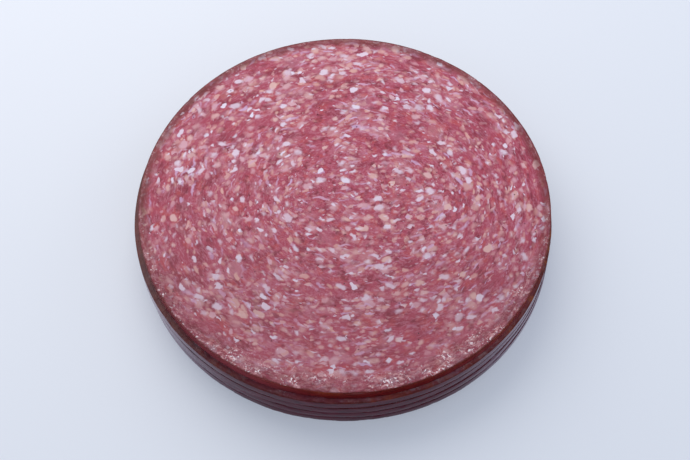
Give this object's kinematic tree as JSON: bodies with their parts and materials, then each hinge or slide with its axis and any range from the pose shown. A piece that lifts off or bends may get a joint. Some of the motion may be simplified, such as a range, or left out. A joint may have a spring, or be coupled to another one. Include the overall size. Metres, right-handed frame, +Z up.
{
  "type": "bologna slice stack",
  "caption": "Short round stack of coarse smoked beef bologna slices, lying flat, with a marbled cut face and a dark smoked edge.",
  "frame": {"origin": "on the surface the stack rests on, under its middle", "axes": "+Z up through the flat slices, +X and +Y across them, -Y towards the viewer"},
  "size_m": [0.1179, 0.1173, 0.0169],
  "materials": {
    "smoked_beef": "moist cured meat: pink to red cut face with cream fat flecks, dark red-brown smoked edge"
  },
  "bodies": {
    "root": {"slice_1": "smoked_beef", "slice_2": "smoked_beef", "slice_3": "smoked_beef", "slice_4": "smoked_beef", "slice_5": "smoked_beef"}
  },
  "joints": []
}
